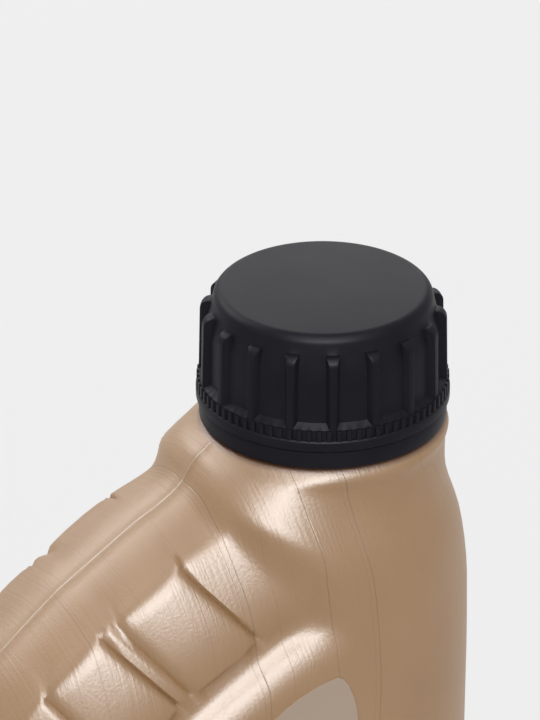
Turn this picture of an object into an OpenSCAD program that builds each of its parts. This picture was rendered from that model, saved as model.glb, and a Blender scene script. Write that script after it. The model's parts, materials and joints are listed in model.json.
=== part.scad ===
// Leather cleaner bottle: blow-moulded body with a sloping grip shoulder, off-centre neck,
// ribbed screw cap with liner, tamper band, two flat labels and the liquid inside.
// Millimetres, +Z up, origin at the centre of the base, +X towards the neck, -Y the front.

/* [Body] */
// Overall height with the cap on
total_height = 236.4; // [200:0.1:280]
// Half depth of the body at the flat panels
half_depth = 31; // [29:0.5:36]
// Distance of the neck axis from the middle of the body
neck_x = 28.3; // [20:0.05:32]
// Wall of the blow-moulded shell
wall = 1.1; // [0.9:0.1:2]
// Depth of the grooves round the grip pads
groove_depth = 1.1; // [0.2:0.1:1.4]
// Outward bulge in the middle of each grip pad
pad_crown = 0.9; // [0.1:0.05:1.2]
// Height of the parting line above the skin
parting_rise = 0.25; // [0:0.05:0.5]
// Depth of the recess under the base
base_recess = 1.8; // [0:0.1:4]

/* [Neck] */
// Wall of the neck tube
neck_wall = 2; // [1.6:0.1:3]
// Height of the thread above the neck wall
thread_depth = 1.3; // [0.9:0.1:1.3]
// Rise of the thread in one turn
thread_pitch = 4; // [3.8:0.1:5]
// Turns of thread on the neck and in the cap
thread_turns = 1.5; // [1:0.25:1.75]
// Gap between the thread of the cap and the neck, all round
thread_gap = 0.4; // [0.3:0.05:0.5]
// Height of the bead that holds the tamper band down
bead_rise = 1.2; // [0.8:0.1:1.3]

/* [Cap] */
// Outer radius of the cap at its foot ring
cap_r = 25; // [22:0.1:26]
// Room between the neck tube and the outside of the cap's foot ring
cap_room = 5; // [4.8:0.1:5.4]
// Height of the cap from its foot to the flat top
cap_height = 23.2; // [21:0.1:26]
// Number of grip ribs
rib_count = 18; // [12:1:24]
// Width of a grip rib at its crest
rib_width = 1.5; // [1:0.1:2.4]
// Turn of the ribs about the neck axis
rib_turn = 6.2; // [0:0.1:20]
// Number of fine teeth round the foot of the ribs
tooth_count = 80; // [60:1:90]
// Thickness of the sealing liner
liner_thick = 1.6; // [0.8:0.1:2.5]
// Gap between the liner and the rim of the mouth
liner_gap = 0.05; // [0.05:0.05:0.3]

/* [Tamper band] */
// Height of the tamper band
band_height = 3.6; // [2.8:0.1:3.6]
// Open slit between the band and the cap
slit = 0.3; // [0.2:0.05:0.4]
// Number of thin bridges in the slit
bridge_count = 12; // [6:1:24]
// Gap between a bridge and the foot of the cap
bridge_gap = 0.05; // [0.05:0.05:0.2]

/* [Labels and liquid] */
// Thickness of a label
label_thick = 0.25; // [0.15:0.05:0.6]
// Height of the liquid above the resting plane
fill_level = 174.5; // [40:1:180]
// Gap between the liquid and the wall
fill_gap = 0.5; // [0.3:0.05:1]

/* [Hidden] */
$fn = 128;

gold = [0.73, 0.62, 0.5];
black = [0.13, 0.13, 0.14];
beige = [0.66, 0.6, 0.53];
white = [0.93, 0.93, 0.91];
amber = [0.86, 0.83, 0.74];

// Heights of the neck features over the plane of the slit; the foot of the cap is the zero.
foot_z = total_height - cap_height;
plate = 1.8;
mouth_z = cap_height - plate - liner_thick - liner_gap;
ring_z = -4.3;
thread_z = 7.6;
// Radii of the neck, from the outside of the cap inwards.
neck_r = cap_r - cap_room;
bore_r = neck_r - neck_wall;
root_r = neck_r + 1.2;
bead_r = root_r + bead_rise;
ring_r = cap_r - 4.4;
roll_r = cap_r - 1.2;

// Side outline of the body: the parting line, left of the neck, round the base, to its right.
// Each row holds x from the neck axis and z from the foot of the cap.
outline = [
    [-ring_r, ring_z], [-roll_r, -4.4], [-cap_r - 0.9, -5.9], [-28, -7.4], [-29.8, -9.8], [-31, -11.8],
    [-33.1, -13.7], [-36.3, -15.8], [-40, -17.7], [-42.7, -19.2], [-55.1, -27],
    [-60, -30.3], [-70.6, -39.2], [-75.5, -44.3], [-79.8, -50.5], [-83, -58], [-85, -68],
    [-85.6, -80], [-85.6, -130], [-85.6, -190], [-84.8, -204], [-82, -210], [-76, -213.2],
    [-60, -213.2], [-28.6, -213.2], [3, -213.2], [18, -213.2], [24.5, -210], [27.5, -203],
    [28.4, -190], [28.5, -130], [28.5, -80], [28.7, -56], [28.9, -44], [28.9, -36],
    [27.1, -26], [24.4, -17], [cap_r - 0.6, -9], [cap_r - 0.1, -5.8], [roll_r, -4.4], [ring_r, ring_z]
];
// Inner ends of the same sections: the middle of the neck face, then the rim of the flat panel.
panel = [
    [0, ring_z], [0, -4.4], [0, -6.7], [0, -10], [-0.5, -16], [-2, -27],
    [-5, -41.5], [-9.5, -42.3], [-14.5, -43.4], [-19.9, -45.9], [-32.9, -53.5],
    [-36.9, -55.9], [-49.8, -64.1], [-55.5, -69], [-60, -75], [-62.4, -81], [-63.3, -87],
    [-63.5, -94], [-63.5, -130], [-63.5, -192], [-63.2, -203], [-62.5, -205.5], [-60, -207],
    [-50, -207.2], [-30, -207.2], [-8, -207.2], [-2, -207], [-0.5, -205.5], [0, -202],
    [0, -190], [0, -130], [0, -80], [0, -56], [-2.2, -46.5], [-5, -41.5],
    [-2, -27], [-0.5, -16], [0, -10], [0, -6.7], [0, -4.4], [0, ring_z]
];
// Half depth at the inner end of the sections that meet on the front of the neck.
neck_depth = [ring_r, roll_r - 0.7, cap_r - 0.2, cap_r - 1.1, 25.1, 29.3, half_depth];
// Share of the grip shoulder and of the flat base in the shape of each section.
grip_share = [
    0, 0, 0, 0, 0, 0, 0.4, 0.75, 0.97, 1, 1, 1, 1, 0.85, 0.6, 0.35, 0.15,
    0, 0, 0, 0, 0, 0, 0, 0, 0, 0, 0, 0, 0, 0, 0, 0, 0, 0, 0, 0, 0, 0, 0, 0
];
base_share = [
    0, 0, 0, 0, 0, 0, 0, 0, 0, 0, 0, 0, 0, 0, 0, 0, 0, 0, 0, 0, 0,
    0.35, 0.85, 1, 1, 1, 0.85, 0.35, 0, 0, 0, 0, 0, 0, 0, 0, 0, 0, 0, 0, 0
];
// Fullness of the rounded sections: 2 gives an ellipse, more a squarer shoulder.
fullness = [
    2, 2, 2.05, 2.45, 2.8, 2.5, 2.1, 2, 2, 2, 2, 2, 2, 2, 2, 2, 2, 2, 2, 2, 2,
    2, 2, 2, 2, 2, 2, 2, 2, 2, 2, 2, 2, 2, 2, 2, 2, 2, 2, 2, 2
];
last_key = len(outline) - 1;
// The straight sides stretch or shrink with the height, below the grip shoulder.
stretch_z = -95;
drawn_z = -213.2;
stretch = (foot_z + stretch_z) / (stretch_z - drawn_z);
function stretched(keys) = [
    for (p = keys)
        [p[0], p[1] > stretch_z ? p[1] : stretch_z + (p[1] - stretch_z) * stretch]
];
outline_keys = stretched(outline);
panel_keys = stretched(panel);
panel_key = 6;

// Section of the grip shoulder: way in from the outline and half depth at each ring,
// the depth taken as a share of the last one.
grip_form = [
    [0, 0], [0, 0.6], [0.003, 3], [0.013, 6], [0.031, 9], [0.055, 12], [0.071, 14],
    [0.083, 15.5], [0.103, 16.3], [0.16, 17.8], [0.24, 19.6], [0.33, 21.5], [0.42, 23.1],
    [0.5, 24.2], [0.57, 24.85], [0.61, 25.05], [0.634, 25.1], [0.65, 25.1], [0.722, 25.3],
    [0.756, 26.2], [0.792, 27.6], [0.862, 30.6], [1, 31]
];
// Depth share of each ring on the rounded ends and across the base.
end_form = [
    0, 0.016, 0.097, 0.194, 0.29, 0.387, 0.452, 0.497, 0.52, 0.561, 0.62, 0.68, 0.735,
    0.784, 0.813, 0.835, 0.855, 0.875, 0.9, 0.93, 0.96, 0.985, 1
];
base_form = [
    0, 0.03, 0.12, 0.24, 0.36, 0.47, 0.56, 0.62, 0.66, 0.7, 0.74, 0.77, 0.79, 0.82, 0.85,
    0.88, 0.91, 0.935, 0.955, 0.972, 0.986, 0.996, 1
];
// How far each ring takes part in the recess of the base and in the grooves of the grip.
recess_form = [1, 1, 1, 1, 1, 0.9, 0.5, 0.1, 0, 0, 0, 0, 0, 0, 0, 0, 0, 0, 0, 0, 0, 0, 0];
groove_form = [0, 0, 0, 0, 0, 0, 0.1, 0.5, 0.95, 1, 1, 1, 1, 1, 1, 0.9, 0.5, 0.1, 0, 0, 0, 0, 0];
// The grooves end in hooks that run over the edge of the grip onto its strip: how deep they
// cut into the strip, and how far each ring shifts them towards the neck.
strip_form = [0, 0, 0, 0.05, 0.2, 0.45, 0.7, 0.7, 0.3, 0, 0, 0, 0, 0, 0, 0, 0, 0, 0, 0, 0, 0, 0];
hook_form = [0, 0, 0, 0.3, 0.28, 0.25, 0.2, 0.12, 0.03, 0, 0, 0, 0, 0, 0, 0, 0, 0, 0, 0, 0, 0, 0];
pad_form = [
    0, 0, 0, 0, 0, 0, 0.15, 0.5, 1, 1, 1, 1, 0.97, 0.95, 0.95, 0.95, 0.9, -0.4, -0.1, 0, 0, 0, 0
];
rings = len(grip_form) - 1;
form_depth = grip_form[rings][1];
base_flat = 0.8;

// Stations between two keys; the six spans beside the neck are used again on its other side.
span_cuts = [
    [0], [0, 0.25, 0.6], [0, 0.33, 0.67], [0, 0.33, 0.67], [0, 0.33, 0.67], [0, 0.33, 0.67]
];
mid_cuts = [
    [0, 0.33, 0.67], [0, 0.33, 0.67], [0, 0.4, 0.7, 0.82, 0.92],
    [0, 0.06, 0.15, 0.35, 0.65, 0.85, 0.94], [0, 0.08, 0.17, 0.38, 0.62, 0.84, 0.92],
    [0, 0.06, 0.15, 0.35, 0.65, 0.85, 0.94], [0, 0.1, 0.22, 0.35, 0.65],
    [0, 0.5], [0, 0.5], [0, 0.5], [0, 0.5], [0], [0], [0, 0.5], [0, 0.5],
    [0, 0.33, 0.67], [0, 0.33, 0.67], [0], [0], [0, 0.33, 0.67], [0, 0.33, 0.67],
    [0, 0.5], [0, 0.5], [0], [0], [0], [0, 0.5], [0, 0.5]
];
neck_stations = [for (i = [0 : panel_key - 1]) for (f = span_cuts[i]) i + f];
mid_stations = [for (i = [0 : len(mid_cuts) - 1]) for (f = mid_cuts[i]) panel_key + i + f];
fine = [
    each neck_stations,
    each mid_stations,
    last_key - panel_key,
    for (i = [len(neck_stations) - 1 : -1 : 0]) last_key - neck_stations[i]
];
coarse_neck = [0, 1, 2, 3, 4, 5];
coarse = [
    each coarse_neck,
    6, 7, 8, 9, 10, 11, 12, 13, 14, 15, 16, 17, 18, 19, 20, 20.5, 21, 21.5, 22, 23, 24, 25,
    26, 26.5, 27, 27.5, 28, 29, 30, 31, 32, 33, last_key - panel_key,
    for (i = [len(coarse_neck) - 1 : -1 : 0]) last_key - coarse_neck[i]
];

function clamp(v, lo, hi) = min(max(v, lo), hi);
function ramp(v, a, b) = clamp((v - a) / (b - a), 0, 1);

// Smooth curve through four values, with t from the second to the third.
function curve(a, b, c, d, t) =
    b + t * ((c - a) / 2 + t * (a - 2.5 * b + 2 * c - d / 2 + t * (1.5 * (b - c) + (d - a) / 2)));

// Value of a list of keys at station s; the curve doesn't look past the keys lo and hi.
function at(keys, s, lo, hi) =
    let (i = clamp(floor(s), lo, hi - 1))
    let (b = keys[i], c = keys[i + 1])
    let (a = i > lo ? keys[i - 1] : 2 * b - c, d = i + 2 <= hi ? keys[i + 2] : 2 * c - b)
    curve(a, b, c, d, s - i);

function beside_neck(s) = s <= panel_key || s >= last_key - panel_key;
function neck_side(s) = s <= panel_key ? s : last_key - s;
function panel_at(s) = beside_neck(s)
    ? at(panel_keys, neck_side(s), 0, panel_key)
    : at(panel_keys, s, panel_key, last_key - panel_key);
function depth_at(s) = beside_neck(s) ? at(neck_depth, neck_side(s), 0, panel_key) : half_depth;

// Groove and pad shares along the grip: grooves beside and between the two pads.
function groove_at(s) = max(
    min(ramp(s, 8.82, 8.92), ramp(s, 9, 8.92)),
    min(ramp(s, 10, 10.17), ramp(s, 10.38, 10.17)),
    min(ramp(s, 10.84, 10.92), ramp(s, 11, 10.92)),
    min(ramp(s, 12, 12.1), ramp(s, 12.22, 12.1))
);
function pad_at(s) =
    let (t = s > 9 && s < 10 ? s - 9 : s > 11 && s < 12 ? s - 11 : 0)
    pow(sin(180 * t), 0.6);

// One point of the half shell at station s and ring k, drawn in by the given amount.
function skin(s, k, inset, detail) =
    let (c = at(outline_keys, s, 0, last_key), q = panel_at(s))
    let (way = (q - c) / norm(q - c), start = c + way * inset)
    let (grip = at(grip_share, s, 0, last_key), base = at(base_share, s, 0, last_key))
    let (deep = depth_at(s), v = end_form[k], w = base_form[k])
    let (p = at(fullness, s, 0, last_key))
    let (arc = w > base_flat ? 1 - sqrt(1 - pow((w - base_flat) / (1 - base_flat), 2)) : 0)
    let (lift = base_recess / 6 * recess_form[k] * ramp(base, 0.85, 1))
    let (end = 1 - grip - base, turn = 1 - pow(1 - pow(v, p), 1 / p))
    let (g = grip * grip_form[k][0] + base * (arc + lift) + end * turn)
    let (h = grip * grip_form[k][1] / form_depth + base * w + end * v)
    let (groove = groove_depth * grip * (detail ? groove_at(s + hook_form[k]) : 1))
    let (cut = groove * groove_form[k])
    let (bulge = detail ? pad_crown * pad_form[k] * pad_at(s) : 0)
    let (seam = detail && k == 0 && s > 1.4 && s < last_key - 1.4 ? -parting_rise : 0)
    let (at_ring = start + (q - start) * g + way * (seam + groove * strip_form[k]))
    [at_ring[0] + neck_x, -(h * (deep - inset) - cut + bulge), max(at_ring[1] + foot_z, inset)];

// Points and faces of a shell skin made of two mirrored halves.
function skin_points(stations, step, inset, detail) = [
    for (side = [1, -1])
        for (s = stations)
            for (k = [0 : step : rings])
                let (p = skin(s, k, inset, detail))
                [p[0], k == 0 ? 0 : side * p[1], p[2]]
];
// Index of a point; rings on the parting line and the middle of the neck face are shared.
function spot(stations, shared, m, side, i, k) =
    let (n = len(stations), j = k == m && i >= n - shared ? n - 1 - i : i)
    (k == 0 ? 0 : side * n * (m + 1)) + j * (m + 1) + k;
function skin_faces(stations, shared, m, out, first) = [
    for (side = [0, 1])
        for (i = [0 : len(stations) - 2])
            for (k = [0 : m - 1])
                let (a = first + spot(stations, shared, m, side, i, k))
                let (b = first + spot(stations, shared, m, side, i, k + 1))
                let (c = first + spot(stations, shared, m, side, i + 1, k + 1))
                let (d = first + spot(stations, shared, m, side, i + 1, k))
                for (f = (side == 0) == out ? [[a, b, c], [a, c, d]] : [[a, c, b], [a, d, c]])
                    f,
    for (side = [0, 1])
        let (rim = [
            for (i = [shared - 1 : len(stations) - shared - 1])
                first + spot(stations, shared, m, side, i, m)
        ])
        (side == 0) == out ? [for (i = [len(rim) - 1 : -1 : 0]) rim[i]] : rim
];
// Points of the round opening at the neck, in order seen from above.
function neck_loop(stations, shared, m, first) =
    let (n = len(stations))
    [
        for (k = [0 : m - 1]) first + spot(stations, shared, m, 0, 0, k),
        for (k = [m : -1 : 1]) first + spot(stations, shared, m, 0, n - 1, k),
        for (k = [0 : m - 1]) first + spot(stations, shared, m, 1, n - 1, k),
        for (k = [m : -1 : 1]) first + spot(stations, shared, m, 1, 0, k)
    ];

// Hollow body up to the foot of the neck: outer and inner skins joined by a flat ring.
module body_shell() {
    outer = skin_points(fine, 1, 0, true);
    inner = skin_points(coarse, 2, wall, false);
    half = rings / 2;
    loop_out = neck_loop(fine, len(neck_stations) + 1, rings, 0);
    loop_in = neck_loop(coarse, len(coarse_neck) + 1, half, len(outer));
    joint = [
        for (j = [0 : len(loop_in) - 1])
            let (a = loop_out[2 * j], b = loop_out[2 * j + 1], c = loop_out[(2 * j + 2) % len(loop_out)])
            let (d = loop_in[j], e = loop_in[(j + 1) % len(loop_in)])
            for (f = [[a, d, b], [b, d, e], [b, e, c]])
                f
    ];
    polyhedron(
        points = concat(outer, inner),
        faces = concat(
            skin_faces(fine, len(neck_stations) + 1, rings, true, 0),
            skin_faces(coarse, len(coarse_neck) + 1, half, false, len(outer)),
            joint
        ),
        convexity = 10
    );
}

// One thread as a swept trapezoid; the crest sinks into the wall at both ends.
module thread(root_r, crest_r, root_w, crest_w, start_z) {
    steps = round(thread_turns * 32);
    fade = 4;
    points = [
        for (i = [0 : steps])
            let (a = 360 * thread_turns * i / steps, z = start_z + thread_pitch * thread_turns * i / steps)
            let (f = clamp(min(i, steps - i) / fade, 0.12, 1), r = root_r + (crest_r - root_r) * f)
            for (p = [[root_r, -root_w / 2], [r, -crest_w / 2], [r, crest_w / 2], [root_r, root_w / 2]])
                [p[0] * cos(a), p[0] * sin(a), z + p[1]]
    ];
    turn = crest_r > root_r;
    faces = [
        for (i = [0 : steps - 1])
            for (j = [0 : 3])
                let (a = 4 * i + j, b = 4 * i + (j + 1) % 4)
                for (f = [[a, b, b + 4], [a, b + 4, a + 4]])
                    turn ? f : [f[0], f[2], f[1]],
        turn ? [3, 2, 1, 0] : [0, 1, 2, 3],
        let (e = 4 * steps)
            turn ? [e, e + 1, e + 2, e + 3] : [e + 3, e + 2, e + 1, e]
    ];
    polyhedron(points = points, faces = faces, convexity = 6);
}

module on_neck() {
    translate([neck_x, 0, foot_z])
        children();
}

// Neck tube with the retaining bead, the shoulder under the thread and the rounded rim.
module neck() {
    rim = 0.5;
    rotate_extrude()
        polygon([
            [bore_r, ring_z - 1], [root_r, ring_z - 1], [root_r, -2.6], [bead_r, -2.4],
            [bead_r, -1.9], [root_r, -0.5], [neck_r, 1.6], [neck_r, mouth_z - rim],
            [neck_r - 0.15, mouth_z - 0.15], [neck_r - rim, mouth_z],
            [bore_r + rim, mouth_z], [bore_r + 0.15, mouth_z - 0.15], [bore_r, mouth_z - rim]
        ]);
    thread(neck_r - 0.3, neck_r + thread_depth, 2.2, 0.8, thread_z);
}

module bottle() {
    color(gold) {
        body_shell();
        on_neck()
            neck();
    }
}

// Cap sizes above its foot: foot ring, fine teeth, ledge, ribs.
edge_r = 2.2;
skirt_r = cap_r - 2.05;
top_r = skirt_r - 1.35;
cone_z = cap_height - 7.7;
skirt_bore = neck_r + thread_depth + thread_gap;
foot_bore = bead_r + 0.5;
tooth_z = 2.3;
ledge_z = 4.5;
rib_z = 5.5;
tooth_root = cap_r - 0.65;
rib_r = cap_r - 0.5;
rib_top = cap_height - 3.6;
// Room for the liner and the rim of the neck, narrower than the thread's part of the bore.
rim_room = neck_r + 0.5;
rim_room_z = thread_z + thread_pitch * thread_turns + 1.5;

module cap_body() {
    edge_z = cap_height - edge_r;
    rotate_extrude()
        polygon([
            [0, cap_height - plate], [rim_room, cap_height - plate],
            [rim_room, rim_room_z + 1.2], [skirt_bore, rim_room_z], [skirt_bore, rib_z],
            [foot_bore, ledge_z], [foot_bore, 0], [cap_r - 0.2, 0], [cap_r, 0.2],
            [cap_r, tooth_z - 0.3], [cap_r - 0.3, tooth_z], [tooth_root, tooth_z],
            [tooth_root, ledge_z], [skirt_r + 0.15, rib_z], [skirt_r, cone_z],
            for (a = [10 : 10 : 80])
                [top_r - edge_r + edge_r * cos(a), edge_z + edge_r * sin(a)],
            [top_r - edge_r, cap_height], [0, cap_height]
        ]);
}

// Grip ribs with drafted sides, cut to a common outline so that their tops are rounded noses.
module cap_ribs() {
    nose = 2;
    sunk = 0.7;
    intersection() {
        rotate_extrude()
            polygon([
                [skirt_r - sunk, ledge_z - 0.5], [rib_r, ledge_z - 0.5],
                for (a = [0 : 15 : 90])
                    [rib_r - 0.3 - nose + nose * cos(a), rib_top - nose + nose * sin(a)],
                [top_r - sunk, rib_top], [skirt_r - sunk, cone_z]
            ]);
        for (i = [0 : rib_count - 1])
            rotate([0, 0, 360 * i / rib_count + rib_turn])
                translate([0, 0, ledge_z - 1])
                    linear_extrude(height = rib_top - ledge_z + 2)
                        polygon([
                            [top_r - 1, -rib_width * 0.95], [skirt_r + 0.1, -rib_width * 0.85],
                            [rib_r - 0.3, -rib_width / 2], [rib_r + 0.2, -rib_width / 2 + 0.25],
                            [rib_r + 0.2, rib_width / 2 - 0.25], [rib_r - 0.3, rib_width / 2],
                            [skirt_r + 0.1, rib_width * 0.85], [top_r - 1, rib_width * 0.95]
                        ]);
    }
}

module cap_teeth() {
    tip_r = cap_r - 0.15;
    gap_r = tooth_root - 0.1;
    step = 360 / tooth_count;
    translate([0, 0, tooth_z - 0.4])
        linear_extrude(height = ledge_z - tooth_z + 0.4)
            difference() {
                polygon([
                    for (i = [0 : tooth_count - 1])
                        for (p = [[0, gap_r], [0.1, tip_r], [0.5, tip_r], [0.6, gap_r]])
                            let (a = (i + p[0]) * step)
                            [p[1] * cos(a), p[1] * sin(a)]
                ]);
                circle(r = gap_r - 0.5);
            }
}

module cap() {
    thread_drop = 1.6;
    color(black)
        on_neck() {
            cap_body();
            cap_ribs();
            cap_teeth();
            thread(skirt_bore + 0.3, neck_r + thread_gap, 2, 0.7, thread_z - thread_drop);
        }
}

// Ring that stays under the bead when the cap is turned off, with the bridges of the slit.
module tamper_band() {
    band_r = cap_r - 0.54;
    band_bore = bead_r + 0.6;
    lip_r = neck_r + 1.6;
    low = -slit - band_height;
    color(black)
        on_neck() {
            rotate_extrude()
                polygon([
                    [band_bore, -slit], [band_r, -slit], [band_r, low + 0.25],
                    [band_r - 0.25, low], [lip_r + 0.2, low], [lip_r, low + 0.2],
                    [lip_r, low + 0.8], [band_bore, low + 1.1]
                ]);
            for (i = [0 : bridge_count - 1])
                rotate([0, 0, 360 * i / bridge_count])
                    translate([band_bore + 0.1, -0.4, -slit - 0.2])
                        cube([band_r - band_bore - 0.3, 0.8, slit + 0.2 - bridge_gap]);
        }
}

module cap_liner() {
    liner_r = rim_room - 0.3;
    color(white)
        on_neck()
            translate([0, 0, cap_height - plate - liner_thick])
                cylinder(h = liner_thick, r = liner_r);
}

// Label outline in the side view, x from the neck axis and z from the foot of the cap.
label_top = [
    [-8.5, -62], [-8.7, -57], [-9.1, -53.2], [-9.8, -50.5], [-11, -47.5], [-12, -46],
    [-13.2, -45.2], [-15, -45.4], [-17.7, -46], [-21, -47.3], [-24.1, -48.8], [-27.6, -51.1],
    [-34, -55.8], [-41, -60.9], [-48, -66], [-53, -70.2], [-57, -74.7], [-59.6, -79.5],
    [-61.2, -85], [-61.8, -92]
];
label_low = -foot_z + 17;
label_corner = 5;
label_arc = [0 : 15 : 90];

module label(face_y) {
    left = label_top[len(label_top) - 1][0] + label_corner;
    right = label_top[0][0] - label_corner;
    low = label_low + label_corner;
    translate([neck_x, face_y, foot_z])
        rotate([90, 0, 0])
            linear_extrude(height = label_thick)
                polygon([
                    each label_top,
                    for (a = label_arc)
                        [left - label_corner * cos(a), low - label_corner * sin(a)],
                    for (a = label_arc)
                        [right + label_corner * sin(a), low - label_corner * cos(a)]
                ]);
}

module front_label() {
    color(beige)
        label(-half_depth);
}

module back_label() {
    color(beige)
        label(half_depth + label_thick);
}

// Liquid as it stands in the upright bottle, a little clear of the wall.
module liquid() {
    skin_in = skin_points(coarse, 2, wall + fill_gap, false);
    half = rings / 2;
    shared = len(coarse_neck) + 1;
    loop = neck_loop(coarse, shared, half, 0);
    side = 200;
    color(amber)
        intersection() {
            polyhedron(
                points = skin_in,
                faces = concat(
                    skin_faces(coarse, shared, half, true, 0),
                    [[for (j = [len(loop) - 1 : -1 : 0]) loop[j]]]
                ),
                convexity = 6
            );
            translate([-side / 2, -side / 2, -1])
                cube([side, side, fill_level + 1]);
        }
}

bottle();
cap();
tamper_band();
cap_liner();
front_label();
back_label();
liquid();
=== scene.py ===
import bpy
import json
import math
from mathutils import Matrix, Vector

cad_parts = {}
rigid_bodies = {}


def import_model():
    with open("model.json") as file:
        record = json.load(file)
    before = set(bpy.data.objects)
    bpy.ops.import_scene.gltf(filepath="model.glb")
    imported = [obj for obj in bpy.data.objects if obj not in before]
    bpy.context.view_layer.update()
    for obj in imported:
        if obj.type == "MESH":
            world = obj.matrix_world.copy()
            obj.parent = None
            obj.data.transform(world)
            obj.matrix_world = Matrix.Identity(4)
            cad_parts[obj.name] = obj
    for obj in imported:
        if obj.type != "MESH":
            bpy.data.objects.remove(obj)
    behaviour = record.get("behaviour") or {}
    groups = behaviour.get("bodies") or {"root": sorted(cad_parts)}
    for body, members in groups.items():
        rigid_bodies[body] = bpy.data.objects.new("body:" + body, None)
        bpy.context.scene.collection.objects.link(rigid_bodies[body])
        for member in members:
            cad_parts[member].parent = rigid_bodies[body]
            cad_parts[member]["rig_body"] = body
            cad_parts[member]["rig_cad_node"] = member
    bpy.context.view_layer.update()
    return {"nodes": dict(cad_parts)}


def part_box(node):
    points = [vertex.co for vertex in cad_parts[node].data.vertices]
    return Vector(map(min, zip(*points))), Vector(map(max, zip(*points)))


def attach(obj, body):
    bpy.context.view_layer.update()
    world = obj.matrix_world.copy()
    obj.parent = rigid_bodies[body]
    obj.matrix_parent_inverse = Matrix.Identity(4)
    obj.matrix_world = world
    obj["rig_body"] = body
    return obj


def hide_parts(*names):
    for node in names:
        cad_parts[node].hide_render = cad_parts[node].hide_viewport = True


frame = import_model()

# Sizes are in metres, in the frame of the CAD model: origin under the middle of the base, +Z up.
MM = 0.001
NODES = frame["nodes"]
CAP_LOW, CAP_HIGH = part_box("cap")
NECK_X = (CAP_LOW.x + CAP_HIGH.x) / 2
CAP_FOOT = Vector((NECK_X, 0, CAP_LOW.z))
BAND_LOW, BAND_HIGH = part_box("tamper_band")
BAND_RADIUS = (BAND_HIGH.x - BAND_LOW.x) / 2
HALF_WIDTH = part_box("bottle")[1].x
# The height below which the left end stands upright, under the sloping grip.
SLOPE_FOOT = 130 * MM

# The sharper die lines: how far each lies from the neck's axis, and how deep it is next to the deepest.
DIE_LINES = ((-31.9 * MM, 0.9), (-33.1 * MM, 0.5), (-26.5 * MM, 0.3), (-41 * MM, 0.3), (-16.8 * MM, 0.8),
             (-7.6 * MM, 1), (-8.7 * MM, 0.4), (9 * MM, 0.25), (-52 * MM, 0.3), (-63 * MM, 0.4))
DIE_LINE_HALF = 0.16 * MM

# Points closer than this are one point of a CAD node's loose triangles.
MERGE_GAP = 0.002 * MM
MOULD_RADIUS = 0.12 * MM
# The grooves of the blown bottle are soft, so all its edges up to this angle are shaded smooth.
BLOWN_SMOOTH = math.radians(58)
MOULDED_SMOOTH = math.radians(35)

# Where the soft boxes face, and the photograph's even grey white.
SHOULDER = Vector((0, 0, 200 * MM))
BACKDROP = "#efefef"


# Tools

def rgb(code):
    """An sRGB hex colour as linear red, green, blue and alpha."""
    parts = [int(code[i:i + 2], 16) / 255 for i in (1, 3, 5)]
    linear = [c / 12.92 if c <= 0.04045 else ((c + 0.055) / 1.055) ** 2.4 for c in parts]
    return (*linear, 1)


def add(tree, kind, inputs=None, **settings):
    """Adds one shader node. A socket is given a value, or linked where the value is a socket."""
    made = tree.nodes.new("ShaderNode" + kind)
    for name, value in settings.items():
        setattr(made, name, value)
    for name, value in (inputs or {}).items():
        if isinstance(value, bpy.types.NodeSocket):
            tree.links.new(value, made.inputs[name])
        else:
            made.inputs[name].default_value = value
    return made


def socket(node, name, kind):
    """The output of a node that has several of one name, picked by its kind."""
    return next(out for out in node.outputs if out.name == name and out.type == kind)


def new_material(name):
    """An empty material and its node tree with the output ready."""
    made = bpy.data.materials.new(name)
    made.use_nodes = True
    made.node_tree.nodes.clear()
    return made, made.node_tree


def finish_material(made, shader):
    """Links the shader to the material's output."""
    add(made.node_tree, "OutputMaterial", {"Surface": shader.outputs[0]})
    return made


def only(piece):
    """Selects one object and nothing else."""
    bpy.ops.object.select_all(action="DESELECT")
    piece.select_set(True)
    bpy.context.view_layer.objects.active = piece


def merged_copy(node, name):
    """A copy of a CAD node with its loose triangles merged, so that it can be shaded smooth."""
    piece = NODES[node].copy()
    piece.data = NODES[node].data.copy()
    piece.name = piece.data.name = name
    piece.parent = None
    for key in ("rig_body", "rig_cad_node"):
        del piece[key]
    bpy.context.scene.collection.objects.link(piece)
    only(piece)
    bpy.ops.mesh.customdata_custom_splitnormals_clear()
    bpy.ops.object.mode_set(mode="EDIT")
    bpy.ops.mesh.select_all(action="SELECT")
    bpy.ops.mesh.remove_doubles(threshold=MERGE_GAP)
    bpy.ops.mesh.select_all(action="DESELECT")
    bpy.ops.object.mode_set(mode="OBJECT")
    return piece


def wear(piece, material):
    """Gives a piece its one material."""
    piece.data.materials.clear()
    piece.data.materials.append(material)


# Materials

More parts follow.
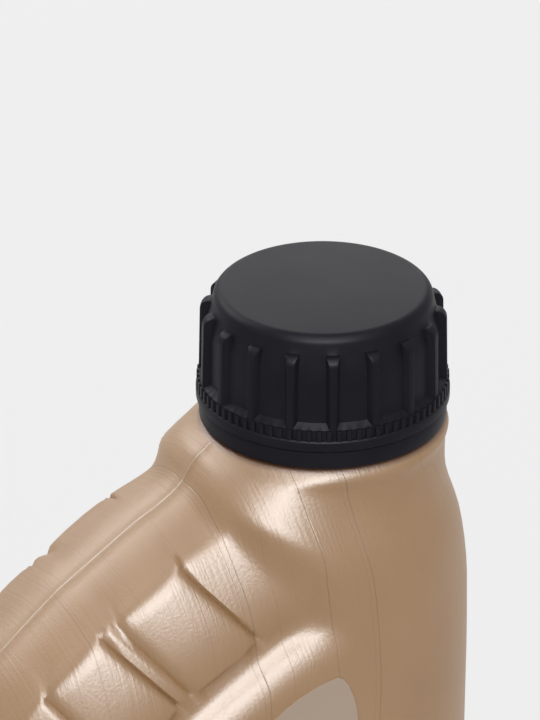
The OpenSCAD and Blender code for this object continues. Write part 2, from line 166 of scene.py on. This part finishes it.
def pearl_gold():
    """Blow-moulded polyethylene with a gold pearl pigment: a tan body under a satin skin that mirrors lamps
    softly and white. The die that the plastic was pressed through leaves fine streaks and a few sharper lines
    along its flow, and the mould's face an orange peel. Along the parting of the mould a painted highlight
    makes a thin pale line and painted shade darkens its edges. Close to the foot of the band a dark amber
    shade is painted, where the band shades the shoulder below it."""
    made, tree = new_material("blow_moulded_pearl_polyethylene")
    place = add(tree, "TexCoord").outputs["Object"]
    flow = add(tree, "Attribute", attribute_name="flow").outputs["Vector"]

    # How far apart the fine streaks lie, and how long they run.
    streak_gap, streak_run = 0.7 * MM, 90 * MM
    along = add(tree, "Mapping", {"Vector": flow, "Scale": (1 / streak_gap, 1 / streak_run, 1 / streak_run)})
    streaks = add(tree, "TexNoise", {"Vector": along.outputs[0], "Scale": 1, "Detail": 3, "Roughness": 0.65})

    waver_size, waver_reach = 18 * MM, 0.9 * MM
    waver = add(tree, "TexNoise", {"Vector": flow, "Scale": 1 / waver_size, "Detail": 2})
    shift = add(tree, "MapRange", {"Value": waver.outputs["Fac"], "To Min": -waver_reach,
                                   "To Max": waver_reach})
    flow_parts = add(tree, "SeparateXYZ", {"Vector": flow})
    across = add(tree, "Math", {0: flow_parts.outputs["X"], 1: shift.outputs[0]})
    lines = None
    for way, depth in DIE_LINES:
        off = add(tree, "Math", {0: across.outputs[0], 1: NECK_X + way}, operation="SUBTRACT")
        gap = add(tree, "Math", {0: off.outputs[0]}, operation="ABSOLUTE")
        line = add(tree, "MapRange", {"Value": gap.outputs[0], "From Max": DIE_LINE_HALF,
                                      "To Min": depth, "To Max": 0})
        lines = line if lines is None else add(tree, "Math", {0: lines.outputs[0], 1: line.outputs[0]},
                                               operation="MAXIMUM")

    peel_grain, cloud_size, seam_break_size = 0.6 * MM, 22 * MM, 3 * MM
    peel = add(tree, "TexNoise", {"Vector": place, "Scale": 1 / peel_grain, "Detail": 2})
    cloud = add(tree, "TexNoise", {"Vector": place, "Scale": 1 / cloud_size, "Detail": 4})

    tone = add(tree, "ValToRGB", {"Fac": cloud.outputs["Fac"]})
    tone.color_ramp.elements[0].position = 0.3
    tone.color_ramp.elements[0].color = rgb("#997652")
    tone.color_ramp.elements[1].position = 0.7
    tone.color_ramp.elements[1].color = rgb("#a07d58")
    inked = add(tree, "Math", {0: lines.outputs[0], 1: 0.6}, operation="MULTIPLY")
    lined = add(tree, "Mix", {"Factor": inked.outputs[0], "A": tone.outputs["Color"],
                              "B": rgb("#6f5238")}, data_type="RGBA")

    # The parting line's small ridge gets a painted highlight on its crest (the pale core) and painted shade
    # on its sides (the dark edges), broken up along its length by a noise.
    seam_half = 0.5 * MM
    parts = add(tree, "SeparateXYZ", {"Vector": place})
    off_seam = add(tree, "Math", {0: parts.outputs["Y"]}, operation="ABSOLUTE")
    seam_way = add(tree, "MapRange", {"Value": off_seam.outputs[0], "From Max": seam_half, "To Max": 1})
    seam_painted_light = add(tree, "ValToRGB", {"Fac": seam_way.outputs[0]})
    seam_painted_light.color_ramp.elements[0].position = 0.15
    seam_painted_light.color_ramp.elements[0].color = rgb("#c4b096")
    seam_painted_light.color_ramp.elements[1].position = 0.45
    seam_painted_light.color_ramp.elements[1].color = rgb("#7f6248")
    seam_break_noise = add(tree, "TexNoise", {"Vector": place, "Scale": 1 / seam_break_size, "Detail": 3})
    most = add(tree, "MapRange", {"Value": seam_break_noise.outputs["Fac"], "From Min": 0.35, "From Max": 0.65,
                                  "To Min": 0.3, "To Max": 0.75})
    fade = add(tree, "MapRange", {"Value": seam_way.outputs[0], "From Min": 0.5, "To Min": 1, "To Max": 0})
    seam_painted_light_share = add(tree, "Math", {0: most.outputs[0], 1: fade.outputs[0]}, operation="MULTIPLY")
    parted = add(tree, "Mix", {"Factor": seam_painted_light_share.outputs[0], "A": socket(lined, "Result", "RGBA"),
                               "B": seam_painted_light.outputs["Color"]}, data_type="RGBA")

    # A dark amber shade is painted where the band's foot shades the shoulder below it: it fades out from the
    # band's edge outwards, and below and above the foot of the band.
    painted_shade_out, painted_shade_below, painted_shade_above = (0.1 * MM, 0.9 * MM), (1.6 * MM, 0.7 * MM), (0.2 * MM, 0.8 * MM)
    off_axis = add(tree, "Math", {0: parts.outputs["X"], 1: NECK_X}, operation="SUBTRACT")
    from_neck = add(tree, "CombineXYZ", {"X": off_axis.outputs[0], "Y": parts.outputs["Y"]})
    reach = add(tree, "VectorMath", {0: from_neck.outputs[0]}, operation="LENGTH")
    shade = add(tree, "MapRange", {"Value": reach.outputs["Value"], "From Min": BAND_RADIUS + painted_shade_out[0],
                                   "From Max": BAND_RADIUS + painted_shade_out[1], "To Min": 0.85, "To Max": 0})
    up_close = add(tree, "MapRange", {"Value": parts.outputs["Z"], "From Min": BAND_LOW.z - painted_shade_below[0],
                                      "From Max": BAND_LOW.z - painted_shade_below[1]})
    neck_clear = add(tree, "MapRange", {"Value": parts.outputs["Z"], "From Min": BAND_LOW.z + painted_shade_above[0],
                                        "From Max": BAND_LOW.z + painted_shade_above[1], "To Min": 1, "To Max": 0})
    by_foot = add(tree, "Math", {0: up_close.outputs[0], 1: neck_clear.outputs[0]}, operation="MULTIPLY")
    painted_shade_under_band = add(tree, "Math", {0: shade.outputs[0], 1: by_foot.outputs[0]}, operation="MULTIPLY")
    # Mixes the painted shade under the band into the body's colour.
    body = add(tree, "Mix", {"Factor": painted_shade_under_band.outputs[0], "A": socket(parted, "Result", "RGBA"),
                             "B": rgb("#5a3216")}, data_type="RGBA")

    peel_height, streak_height, line_depth = 0.045 * MM, 0.08 * MM, 0.05 * MM
    polish = add(tree, "MapRange", {"Value": cloud.outputs["Fac"], "To Min": 0.38, "To Max": 0.46})
    rough = add(tree, "Bump", {"Height": peel.outputs["Fac"], "Strength": 1, "Distance": peel_height})
    drawn = add(tree, "Bump", {"Height": streaks.outputs["Fac"], "Normal": rough.outputs[0],
                               "Strength": 1, "Distance": streak_height})
    scored = add(tree, "Bump", {"Height": lines.outputs[0], "Normal": drawn.outputs[0],
                                "Strength": 0.8, "Distance": line_depth}, invert=True)
    return finish_material(made, add(tree, "BsdfPrincipled", {
        "Base Color": socket(body, "Result", "RGBA"), "Roughness": polish.outputs[0], "IOR": 1.58,
        "Normal": scored.outputs[0]}))


def cap_black():
    """Injection-moulded black polypropylene with a fine spark-eroded grain, matt and a little blue."""
    made, tree = new_material("moulded_black_polypropylene")
    place = add(tree, "TexCoord").outputs["Object"]
    grain_size, grain_height, cloud_size = 0.45 * MM, 0.015 * MM, 9 * MM
    grain = add(tree, "TexNoise", {"Vector": place, "Scale": 1 / grain_size, "Detail": 3, "Roughness": 0.7})
    cloud = add(tree, "TexNoise", {"Vector": place, "Scale": 1 / cloud_size, "Detail": 3})
    tone = add(tree, "ValToRGB", {"Fac": cloud.outputs["Fac"]})
    tone.color_ramp.elements[0].color = rgb("#15141a")
    tone.color_ramp.elements[1].color = rgb("#1e1d24")
    polish = add(tree, "MapRange", {"Value": cloud.outputs["Fac"], "To Min": 0.36, "To Max": 0.46})
    bumps = add(tree, "Bump", {"Height": grain.outputs["Fac"], "Strength": 0.5, "Distance": grain_height})
    return finish_material(made, add(tree, "BsdfPrincipled", {
        "Base Color": tone.outputs["Color"], "Roughness": polish.outputs[0], "IOR": 1.5,
        "Specular IOR Level": 0.06, "Normal": bumps.outputs[0]}))


def label_film():
    """Printed polyolefin film, satin: it lies flat and hides the die lines under it."""
    made, tree = new_material("printed_satin_film")
    place = add(tree, "TexCoord").outputs["Object"]
    cloud_size, fine_size, fine_height = 20 * MM, 0.4 * MM, 0.005 * MM
    cloud = add(tree, "TexNoise", {"Vector": place, "Scale": 1 / cloud_size, "Detail": 4})
    tone = add(tree, "ValToRGB", {"Fac": cloud.outputs["Fac"]})
    tone.color_ramp.elements[0].color = rgb("#a5927f")
    tone.color_ramp.elements[1].color = rgb("#ab9886")
    fine = add(tree, "TexNoise", {"Vector": place, "Scale": 1 / fine_size, "Detail": 2})
    bumps = add(tree, "Bump", {"Height": fine.outputs["Fac"], "Strength": 0.2, "Distance": fine_height})
    return finish_material(made, add(tree, "BsdfPrincipled", {
        "Base Color": tone.outputs["Color"], "Roughness": 0.42, "IOR": 1.5, "Metallic": 0.2,
        "Normal": bumps.outputs[0]}))


def liner_foam():
    """Expanded polyethylene foam with a smooth skin, white and matt."""
    made, tree = new_material("expanded_polyethylene_foam")
    place = add(tree, "TexCoord").outputs["Object"]
    cell_size, cell_height = 0.4 * MM, 0.03 * MM
    cells = add(tree, "TexVoronoi", {"Vector": place, "Scale": 1 / cell_size})
    bumps = add(tree, "Bump", {"Height": cells.outputs["Distance"], "Strength": 0.3, "Distance": cell_height})
    return finish_material(made, add(tree, "BsdfPrincipled", {
        "Base Color": rgb("#e9e8e3"), "Roughness": 0.7, "IOR": 1.5, "Normal": bumps.outputs[0]}))


def cleaner():
    """A milky cleaning lotion, opaque, with a wet surface."""
    made, tree = new_material("milky_cleaning_lotion")
    place = add(tree, "TexCoord").outputs["Object"]
    swirl_size = 25 * MM
    swirl = add(tree, "TexNoise", {"Vector": place, "Scale": 1 / swirl_size, "Detail": 2})
    tone = add(tree, "ValToRGB", {"Fac": swirl.outputs["Fac"]})
    tone.color_ramp.elements[0].color = rgb("#e6e0cf")
    tone.color_ramp.elements[1].color = rgb("#efeadc")
    return finish_material(made, add(tree, "BsdfPrincipled", {
        "Base Color": tone.outputs["Color"], "Roughness": 0.12, "IOR": 1.36}))


# Pieces

def flow_of_plastic(piece):
    """Writes the way of the plastic: the die's lines run where its x is constant. They hang straight from the
    neck on the broad faces, a little spread below it, cross the sloping grip, and round the upright ends they
    step on with the distance from the parting line."""
    field = piece.data.attributes.new("flow", "FLOAT_VECTOR", "POINT")
    spread, fan_height = 4 * MM, 40 * MM
    broad, upright_blend = 38 * MM, 20 * MM
    for point, there in zip(piece.data.vertices, field.data):
        x, y, z = point.co
        share = min(max((CAP_FOOT.z - z) / fan_height, 0), 1)
        fan = spread * share * share * (3 - 2 * share)
        round_end = min(max((abs(x) - broad) / (HALF_WIDTH - broad), 0), 1)
        if x < 0:
            round_end *= min(max((SLOPE_FOOT - z) / upright_blend, 0), 1)
        there.vector = (x - fan + y * round_end, y, z)


def bottle_shell():
    """The blown bottle, with its facets shaded as one smooth skin."""
    piece = merged_copy("bottle", "bottle_shell")
    bpy.ops.object.shade_smooth_by_angle(angle=BLOWN_SMOOTH)
    flow_of_plastic(piece)
    wear(piece, pearl_gold())
    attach(piece, "container")
    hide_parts("bottle")


def moulded_black_piece(node, name, body, material):
    """A copy of the cap or of its band with the small radii that a mould leaves on every edge."""
    piece = merged_copy(node, name)
    edges = piece.modifiers.new("mould_radius", "BEVEL")
    edges.width = MOULD_RADIUS
    edges.segments = 2
    edges.limit_method = "ANGLE"
    edges.angle_limit = MOULDED_SMOOTH
    bpy.ops.object.modifier_apply(modifier=edges.name)
    bpy.ops.object.shade_smooth_by_angle(angle=MOULDED_SMOOTH)
    wear(piece, material)
    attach(piece, body)
    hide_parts(node)


def dress_cad_nodes():
    """Gives the CAD nodes that are shown as they are their finishes."""
    film = label_film()
    for node, material in (("cap_liner", liner_foam()), ("front_label", film), ("back_label", film),
                           ("liquid", cleaner())):
        wear(NODES[node], material)


# Studio

def aim(thing, target):
    """Turns a light to face a point."""
    thing.rotation_euler = (target - thing.location).to_track_quat("-Z", "Y").to_euler()


def soft_box(name, place, size, level, sheen):
    """One soft area light of an even level that faces the bottle's shoulder, and a second face that only
    reflections show. It stands in for the pearl pigment's own mirroring, which the plastic's shader doesn't
    have, and it stands a little behind the first, so that neither hides the other."""
    sheen_behind = 1.01
    for part, strength in ((name, level), (name + "_sheen", sheen)):
        data = bpy.data.lights.new(part, "AREA")
        data.shape = "RECTANGLE"
        data.size, data.size_y = size
        data.energy = strength * math.pi * size[0] * size[1]
        light = bpy.data.objects.new(part, data)
        bpy.context.scene.collection.objects.link(light)
        light.location = Vector(place) * (1 if part == name else sheen_behind)
        aim(light, SHOULDER)
        light.visible_diffuse = part == name


def seen_straight(tree):
    """One where a ray comes from the camera, or by way of a mirror or glass: the stage is then itself."""
    path = add(tree, "LightPath")
    near = add(tree, "Math", {0: path.outputs["Is Camera Ray"], 1: path.outputs["Is Glossy Ray"]},
               operation="MAXIMUM")
    return add(tree, "Math", {0: near.outputs[0], 1: path.outputs["Is Transmission Ray"]},
               operation="MAXIMUM").outputs[0]


def floor():
    """The pale studio floor. The camera sees it as the backdrop's grey white, with a share of the shadow."""
    floor_size, glow_share, glow_strength = 12, 0.85, 0.98
    bpy.ops.mesh.primitive_plane_add(size=floor_size, location=(0, 0, 0))
    plane = bpy.context.active_object
    plane.name = "floor"
    made, tree = new_material("painted_studio_floor")
    matt = add(tree, "BsdfDiffuse", {"Color": rgb(BACKDROP)})
    glow = add(tree, "Emission", {"Color": rgb(BACKDROP), "Strength": glow_strength})
    seen = add(tree, "Math", {0: seen_straight(tree), 1: glow_share}, operation="MULTIPLY")
    wear(plane, finish_material(made, add(tree, "MixShader", {
        0: seen.outputs[0], 1: matt.outputs[0], 2: glow.outputs[0]})))


def surroundings():
    """A pale room: seen straight on it is the backdrop, and it lights the object a little less."""
    room_level = 0.85
    world = bpy.data.worlds.new("studio_room")
    bpy.context.scene.world = world
    world.use_nodes = True
    tree = world.node_tree
    tree.nodes.clear()
    seen = add(tree, "Background", {"Color": rgb(BACKDROP), "Strength": 1})
    room = add(tree, "Background", {"Color": rgb(BACKDROP), "Strength": room_level})
    mixed = add(tree, "MixShader", {0: seen_straight(tree), 1: room.outputs[0], 2: seen.outputs[0]})
    add(tree, "OutputWorld", {"Surface": mixed.outputs[0]})


def camera():
    """The photograph's view: a long lens, turned and tipped as the cap's ellipses show."""
    azimuth, pitch = math.radians(-28), math.radians(27.87)
    distance = 1.0
    focal_px, picture = 5080, (540, 720)
    foot_px = (322.81, 391.64)
    right = Vector((math.cos(azimuth), math.sin(azimuth), 0))
    level = math.cos(pitch)
    back = Vector((math.sin(azimuth) * level, -math.cos(azimuth) * level, math.sin(pitch)))
    up = back.cross(right)
    across = (foot_px[0] - picture[0] / 2) / focal_px * distance
    down = (foot_px[1] - picture[1] / 2) / focal_px * distance
    data = bpy.data.cameras.new("camera")
    data.sensor_width = 36
    data.lens = focal_px / picture[1] * data.sensor_width
    data.clip_end = 50
    view = bpy.data.objects.new("camera", data)
    bpy.context.scene.collection.objects.link(view)
    view.location = CAP_FOOT + back * distance - right * across + up * down
    view.rotation_euler = Matrix((right, up, back)).transposed().to_euler()
    bpy.context.scene.camera = view


def studio():
    """Lights, floor and surroundings."""
    soft_box("front_soft_box", place=(-0.85, -1.75, 1.72), size=(1.9, 1.1), level=1.3, sheen=24)
    soft_box("top_soft_box", place=(-0.35, -0.75, 2.3), size=(1.6, 1.2), level=1, sheen=7)
    soft_box("left_back_soft_box", place=(-0.7, 1.75, 1.6), size=(1.5, 1.2), level=1.8, sheen=4.5)
    soft_box("right_back_soft_box", place=(0.95, 1.75, 1.3), size=(1.5, 1.4), level=1.4, sheen=0.8)
    floor()
    surroundings()
    bpy.context.scene.view_settings.view_transform = "Standard"


camera()
bottle_shell()
black = cap_black()
moulded_black_piece("cap", "cap_shell", "closure", black)
moulded_black_piece("tamper_band", "band_shell", "container", black)
dress_cad_nodes()
studio()
